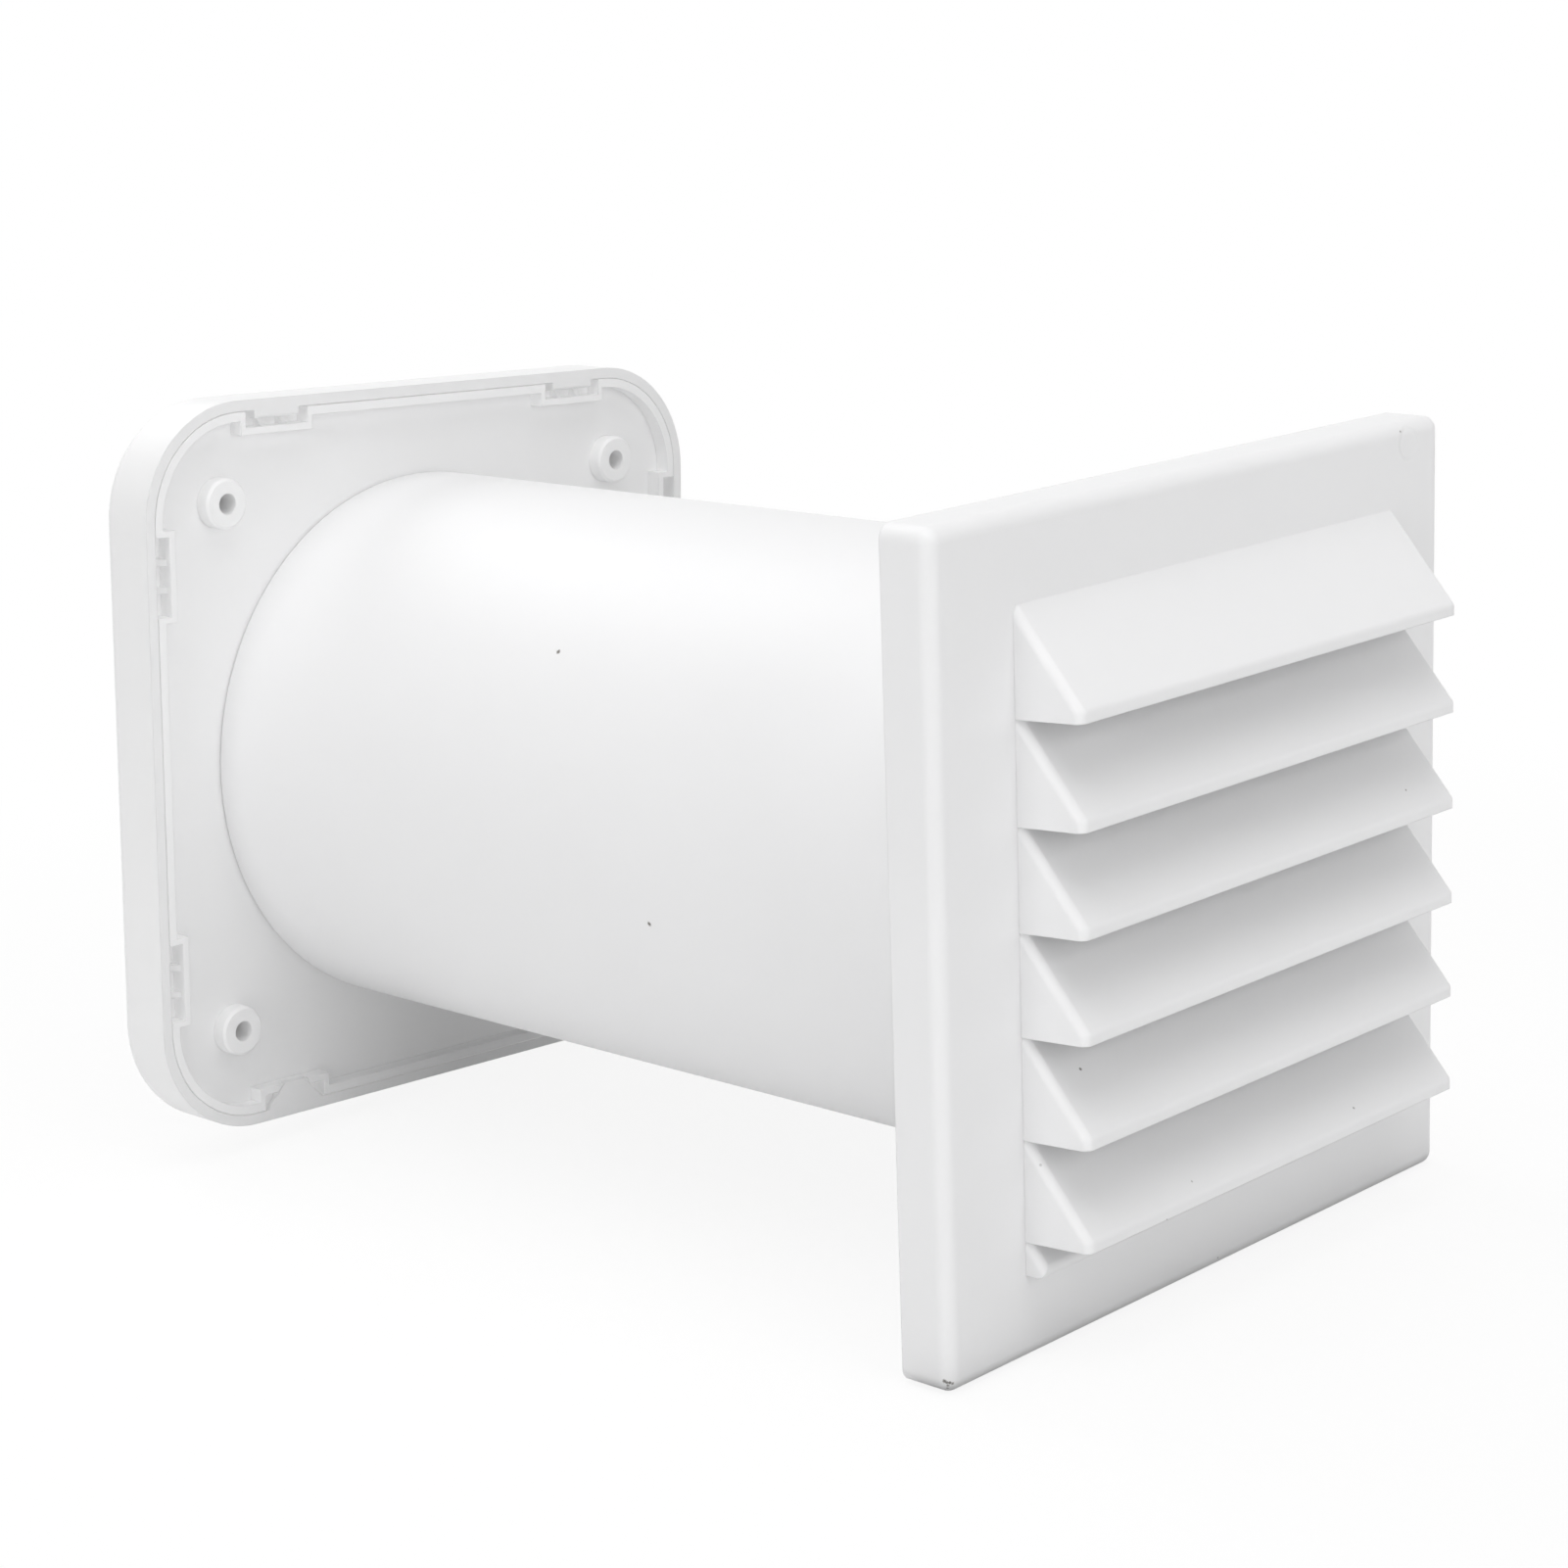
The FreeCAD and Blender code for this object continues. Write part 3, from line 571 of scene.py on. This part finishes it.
def flecked(tree, place, color, flecks):
    """Lays each fleck over a colour. One noise makes them all ragged."""
    raggedness = add_noise(tree, place, RAGGED_RATE, detail=1.0)
    for spot, size, strength in flecks:
        fleck = place_effect(
            tree,
            "Fleck",
            links={"Vector": place, "Raggedness": raggedness},
            values={"Place": Vector(spot) * MILLIMETRE, "Size": size * MILLIMETRE},
        )
        color = darkened(tree, color, fleck.outputs["Mask"], FLECK_BROWN, strength)
    return color


def pin_marked(tree, place, height, pin_marks):
    """Adds each pin mark's rise to a height."""
    for spot, radius, rise in pin_marks:
        mark = place_effect(
            tree,
            "Pin mark",
            links={"Vector": place},
            values={"Place": Vector(spot) * MILLIMETRE, "Radius": radius * MILLIMETRE},
        )
        height = add_math(tree, "MULTIPLY_ADD", mark.outputs["Mask"], rise, height)
    return height


def moulded_plastic(
    name,
    white,
    finish,
    roughness,
    spread,
    mottle,
    grain_depth,
    flecks=(),
    pin_marks=(),
    draw_lines=0.0,
    edge=0.0,
    painted_glow=0.0,
    mirror=0.5,
):
    """A white moulded plastic: grain, mottling, gloss patches, flecks, rounded edges and a painted glow in
    its hollows.
    """
    material = bpy.data.materials.new(name)
    material.use_nodes = True
    tree = material.node_tree
    shader = tree.nodes["Principled BSDF"]
    shader.inputs["IOR"].default_value = PLASTIC_IOR
    shader.inputs["Specular IOR Level"].default_value = mirror
    place = tree.nodes.new("ShaderNodeTexCoord").outputs["Object"]
    grain = place_effect(
        tree,
        "Moulded grain",
        links={"Vector": place},
        values={
            "Grain Width": finish.grain,
            "White": (*white, 1.0),
            "Mottle": mottle,
            "Roughness": roughness,
            "Roughness Spread": spread,
        },
    )
    color = grain.outputs["Color"]
    if flecks:
        color = flecked(tree, place, color, flecks)
    tree.links.new(color, shader.inputs["Base Color"])
    tree.links.new(grain.outputs["Roughness"], shader.inputs["Roughness"])
    height = grain.outputs["Height"]
    if draw_lines:
        lines = place_effect(tree, "Draw lines", links={"Vector": place})
        height = add_math(tree, "MULTIPLY_ADD", lines.outputs["Height"], draw_lines, height)
    height = pin_marked(tree, place, height, pin_marks)
    bump = add_node(tree, "ShaderNodeBump", inputs={"Distance": grain_depth})
    tree.links.new(height, bump.inputs["Height"])
    if edge:
        rounded = add_node(
            tree, "ShaderNodeBevel", properties={"samples": BEVEL_SAMPLES}, inputs={"Radius": edge}
        )
        tree.links.new(rounded.outputs["Normal"], bump.inputs["Normal"])
    tree.links.new(bump.outputs["Normal"], shader.inputs["Normal"])
    # Painted light: an emission that lightens the hollows, the more shut in the brighter.
    if painted_glow:
        hollow_glow = place_effect(tree, "Painted hollow glow")
        tree.links.new(hollow_glow.outputs["Color"], shader.inputs["Emission Color"])
        shader.inputs["Emission Strength"].default_value = painted_glow
    return material


WIRE_GRAIN = 0.2 * MILLIMETRE
WIRE_GRAIN_DEPTH = 0.005 * MILLIMETRE


def steel_wire(name, finish):
    """Drawn steel: bright metal with a fine grain and a little tarnish."""
    material = bpy.data.materials.new(name)
    material.use_nodes = True
    tree = material.node_tree
    shader = tree.nodes["Principled BSDF"]
    shader.inputs["Metallic"].default_value = 1.0
    place = tree.nodes.new("ShaderNodeTexCoord").outputs["Object"]
    grain = place_effect(
        tree,
        "Moulded grain",
        links={"Vector": place},
        values={
            "Grain Width": WIRE_GRAIN,
            "White": (*finish.steel, 1.0),
            "Mottle": 0.3,
            "Roughness": 0.2,
            "Roughness Spread": 0.12,
        },
    )
    tree.links.new(grain.outputs["Color"], shader.inputs["Base Color"])
    tree.links.new(grain.outputs["Roughness"], shader.inputs["Roughness"])
    bump = add_node(tree, "ShaderNodeBump", inputs={"Distance": WIRE_GRAIN_DEPTH})
    tree.links.new(grain.outputs["Height"], bump.inputs["Height"])
    tree.links.new(bump.outputs["Normal"], shader.inputs["Normal"])
    return material


def dress(node_name, material):
    """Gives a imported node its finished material."""
    mesh = frame["nodes"][node_name].data
    mesh.materials.clear()
    mesh.materials.append(material)


# Operators

class VENT_OT_wall_tube(bpy.types.Operator):
    """Makes the glossy duct tube that crosses the wall"""

    bl_idname = "vent.wall_tube"
    bl_label = "Wall tube"

    def execute(self, context):
        tube = context.scene.vent_tube
        finish = context.scene.vent_finish
        low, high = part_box("wall_tube")
        outer = high.x
        radii, places = rounded_wall_profile(
            outer - tube.wall, outer, low.y, high.y, tube.lip, tube.rings
        )
        material = moulded_plastic(
            "Tube white",
            finish.tube_white,
            finish,
            roughness=0.48,
            spread=0.08,
            mottle=0.02,
            grain_depth=0.002 * MILLIMETRE,
            flecks=TUBE_FLECKS,
            draw_lines=1.0,
        )
        piece = add_piece("duct_tube", revolved_mesh("duct_tube", radii, places, tube.sides), material)
        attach(piece, "vent_body")
        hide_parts("wall_tube")
        return {"FINISHED"}


class VENT_OT_louvre_grille(bpy.types.Operator):
    """Gives the outdoor louvre grille its satin white finish"""

    bl_idname = "vent.louvre_grille"
    bl_label = "Louvre grille"

    def execute(self, context):
        finish = context.scene.vent_finish
        material = moulded_plastic(
            "Grille white",
            finish.grille_white,
            finish,
            roughness=0.46,
            spread=0.12,
            mottle=0.03,
            grain_depth=finish.grain_depth,
            flecks=GRILLE_FLECKS + CORNER_SCUFF,
            pin_marks=GRILLE_PIN_MARKS,
            edge=finish.edge,
            mirror=0.35,
        )
        dress("louvre_grille", material)
        return {"FINISHED"}


class VENT_OT_wall_plate(bpy.types.Operator):
    """Gives the wall plate and its clip-on cover their satin white finish"""

    bl_idname = "vent.wall_plate"
    bl_label = "Wall plate and cover"

    def execute(self, context):
        finish = context.scene.vent_finish
        whites = {
            "wall_plate": ("Plate white", finish.plate_white),
            "trim_cover": ("Cover white", finish.cover_white),
        }
        for node_name, (material_name, white) in whites.items():
            material = moulded_plastic(
                material_name,
                white,
                finish,
                roughness=0.48,
                spread=0.12,
                mottle=0.03,
                grain_depth=finish.grain_depth,
                edge=finish.edge,
                painted_glow=finish.painted_glow,
            )
            dress(node_name, material)
        return {"FINISHED"}


class VENT_OT_damper(bpy.types.Operator):
    """Finishes the backdraught damper: its sleeve, its flap and the steel hinge pin"""

    bl_idname = "vent.damper"
    bl_label = "Backdraught damper"

    def execute(self, context):
        finish = context.scene.vent_finish
        material = moulded_plastic(
            "Damper white",
            finish.damper_white,
            finish,
            roughness=0.45,
            spread=0.15,
            mottle=0.04,
            grain_depth=finish.grain_depth,
            edge=finish.edge,
        )
        for node_name in ("damper_ring", "damper_flap"):
            dress(node_name, material)
        dress("flap_pin", steel_wire("Pin steel", finish))
        return {"FINISHED"}


class VENT_OT_stage(bpy.types.Operator):
    """Sets the pale floor, the white room, the softboxes and the camera"""

    bl_idname = "vent.stage"
    bl_label = "Floor, light and camera"

    def execute(self, context):
        stage = context.scene.vent_stage
        context.scene.view_settings.view_transform = "Standard"
        make_floor(stage)
        make_room(stage)
        make_softboxes(stage)
        make_camera()
        return {"FINISHED"}


# The stage

FLOOR_SIDE = 24.0
FLOOR_ROUGHNESS = 0.9

# The paper's fleck comes back this often per metre, and is at its darkest this share of the white
PAPER_RATE = 400.0
PAPER_DARKEST = 0.96

# How far the louvres stand out of the shell, and the rounding of the shell's edges
LOUVRE_REACH = 13.2 * MILLIMETRE
GRILLE_EDGE = 2.5 * MILLIMETRE

# Painted shade: the share of its light that the floor throws back right under the grille, darkened so that
# the grille's lower edge is shaded
PAINTED_CONTACT_SHARE = 0.15


def camera_ray_share(tree):
    """One for camera, mirror and see-through rays, and nothing for the light that falls on things."""
    path = tree.nodes.new("ShaderNodeLightPath")
    seen = add_math(tree, "MAXIMUM", path.outputs["Is Camera Ray"], path.outputs["Is Glossy Ray"])
    return add_math(tree, "MAXIMUM", seen, path.outputs["Is Transmission Ray"])


def standing_places():
    """Where the grille's front edge and the cover's lower corner stand on the floor, in the middle plane."""
    grille_low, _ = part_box("louvre_grille")
    cover_low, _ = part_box("trim_cover")
    near = Vector((0.0, grille_low.y + LOUVRE_REACH + GRILLE_EDGE, grille_low.z))
    far = Vector((0.0, cover_low.y, cover_low.z))
    return near, far


def floor_mesh(near, far):
    """A flat square through both standing places, level from side to side."""
    slope = math.atan2(far.z - near.z, far.y - near.y)
    side = FLOOR_SIDE / 2
    corners = [Vector((x, y, 0.0)) for x, y in ((-side, -side), (side, -side), (side, side), (-side, side))]
    turn = Matrix.Translation(near) @ Matrix.Rotation(slope, 4, "X")
    mesh = bpy.data.meshes.new("floor")
    mesh.from_pydata([turn @ corner for corner in corners], [], [(0, 1, 2, 3)])
    return mesh


def bounce_with_painted_shade(tree, place, foot, stage):
    """The light that the floor throws back, with painted shade: little in the gap under the grille, and all
    of it farther off.

    The distance from the grille's foot, a strip without end upwards and downwards, is the length of what the
    place, less the foot's middle and made positive, has beyond half the strip.
    """
    grille_low, grille_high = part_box("louvre_grille")
    half_strip = Vector(((grille_high.x - grille_low.x) / 2, GRILLE_EDGE, FLOOR_SIDE))
    steps = (
        ("SUBTRACT", foot),
        ("ABSOLUTE", None),
        ("SUBTRACT", half_strip),
        ("MAXIMUM", Vector()),
        ("LENGTH", None),
    )
    apart = add_vector_steps(tree, place, steps)
    least = stage.floor_bounce * PAINTED_CONTACT_SHARE
    return add_ramp(tree, apart, 0.0, stage.contact_reach, least, stage.floor_bounce)


def make_floor(stage):
    """The pale floor. Far from the object it is plain white, and near it the floor shows its soft shadow."""
    near, far = standing_places()
    material = bpy.data.materials.new("Floor white")
    material.use_nodes = True
    tree = material.node_tree
    shader = tree.nodes["Principled BSDF"]
    shader.inputs["Roughness"].default_value = FLOOR_ROUGHNESS
    shader.inputs["Specular IOR Level"].default_value = 0.0
    seen = camera_ray_share(tree)
    place = tree.nodes.new("ShaderNodeTexCoord").outputs["Object"]
    paper = add_noise(tree, place, PAPER_RATE)
    tone = add_math(tree, "MULTIPLY_ADD", paper, 1.0 - PAPER_DARKEST, PAPER_DARKEST)
    # Painted shade: the floor's colour for the light it throws back is darker near the grille's foot, which
    # shades the grille's lower edge.
    thrown = bounce_with_painted_shade(tree, place, near, stage)
    tree.links.new(add_mix(tree, seen, thrown, tone), shader.inputs["Base Color"])
    glow = add_node(tree, "ShaderNodeEmission", inputs={"Strength": 1.0})
    away = add_distance(tree, place, Vector((near.x, (near.y + far.y) / 2, near.z)))
    plain = add_ramp(tree, away, stage.shadow_reach / 2, stage.shadow_reach, stage.floor_glow, 1.0)
    mix = tree.nodes.new("ShaderNodeMixShader")
    tree.links.new(add_math(tree, "MULTIPLY", seen, plain), mix.inputs["Fac"])
    tree.links.new(shader.outputs["BSDF"], mix.inputs[1])
    tree.links.new(glow.outputs["Emission"], mix.inputs[2])
    tree.links.new(mix.outputs["Shader"], tree.nodes["Material Output"].inputs["Surface"])
    floor = add_piece("floor", floor_mesh(near, far), material)


def make_room(stage):
    """A white world: plain white as the camera and mirrors see it, and softer as a light."""
    world = bpy.data.worlds.new("White room")
    bpy.context.scene.world = world
    world.use_nodes = True
    tree = world.node_tree
    background = tree.nodes["Background"]
    background.inputs["Color"].default_value = (1.0, 1.0, 1.0, 1.0)
    strength = add_mix(tree, camera_ray_share(tree), stage.ambient, 1.0)
    tree.links.new(strength, background.inputs["Strength"])


LAMP_AIM = Vector((0.0, -0.1, 0.0))


def make_softboxes(stage):
    """Square area lamps that all face the middle of the object, each by name, place, side and power."""
    softboxes = (
        ("overhead softbox", (-0.15, -0.25, 1.2), 1.1, stage.overhead),
        ("front softbox", (-0.2, -1.7, 0.5), 1.0, stage.front),
        ("left softbox", (-1.7, -0.2, 0.25), 1.0, stage.left),
        ("rear softbox", (0.2, 1.3, 1.1), 1.0, stage.rear),
    )
    for name, place, side, power in softboxes:
        lamp = bpy.data.lights.new(name, "AREA")
        lamp.shape = "SQUARE"
        lamp.size = side
        lamp.energy = power
        softbox = bpy.data.objects.new(name, lamp)
        softbox.location = place
        softbox.rotation_euler = (LAMP_AIM - Vector(place)).to_track_quat("-Z", "Y").to_euler()
        bpy.context.scene.collection.objects.link(softbox)


# The camera's place in metres and its turns in degrees, as fitted to the photograph
CAMERA_PLACE = (-0.47865, -0.54579, 0.16155)
CAMERA_TURN = (76.4227, 1.9691, -47.2908)
CAMERA_LENS = 83.365
CAMERA_SENSOR = 36.0


def make_camera():
    """The camera at the photograph's place and angle."""
    lens = bpy.data.cameras.new("photo camera")
    lens.lens = CAMERA_LENS
    lens.sensor_width = CAMERA_SENSOR
    lens.clip_start = 0.01
    lens.clip_end = 100.0
    camera = bpy.data.objects.new("photo camera", lens)
    camera.location = CAMERA_PLACE
    camera.rotation_euler = Euler([math.radians(turn) for turn in CAMERA_TURN])
    bpy.context.scene.collection.objects.link(camera)
    bpy.context.scene.camera = camera


# Panel and registration

class VENT_PT_panel(bpy.types.Panel):
    """Lists the vent's pieces and its settings"""

    bl_label = "Dryer vent"
    bl_idname = "VENT_PT_panel"
    bl_space_type = "VIEW_3D"
    bl_region_type = "UI"
    bl_category = "Dryer vent"

    def draw(self, context):
        for operator in OPERATORS:
            self.layout.operator(operator.bl_idname)
        for name in SETTINGS:
            settings = getattr(context.scene, name)
            box = self.layout.box()
            for key in settings.__annotations__:
                box.prop(settings, key)


OPERATORS = (
    VENT_OT_wall_tube,
    VENT_OT_louvre_grille,
    VENT_OT_wall_plate,
    VENT_OT_damper,
    VENT_OT_stage,
)
SETTINGS = {
    "vent_tube": TubeSettings,
    "vent_finish": FinishSettings,
    "vent_stage": StageSettings,
}
CLASSES = (*SETTINGS.values(), *OPERATORS, VENT_PT_panel)


def register():
    for item in CLASSES:
        bpy.utils.register_class(item)
    for name, group in SETTINGS.items():
        setattr(bpy.types.Scene, name, PointerProperty(type=group))


def unregister():
    for name in SETTINGS:
        delattr(bpy.types.Scene, name)
    for item in reversed(CLASSES):
        bpy.utils.unregister_class(item)


def main():
    register()
    bpy.ops.vent.wall_tube()
    bpy.ops.vent.louvre_grille()
    bpy.ops.vent.wall_plate()
    bpy.ops.vent.damper()
    bpy.ops.vent.stage()


if __name__ == "__main__":
    main()
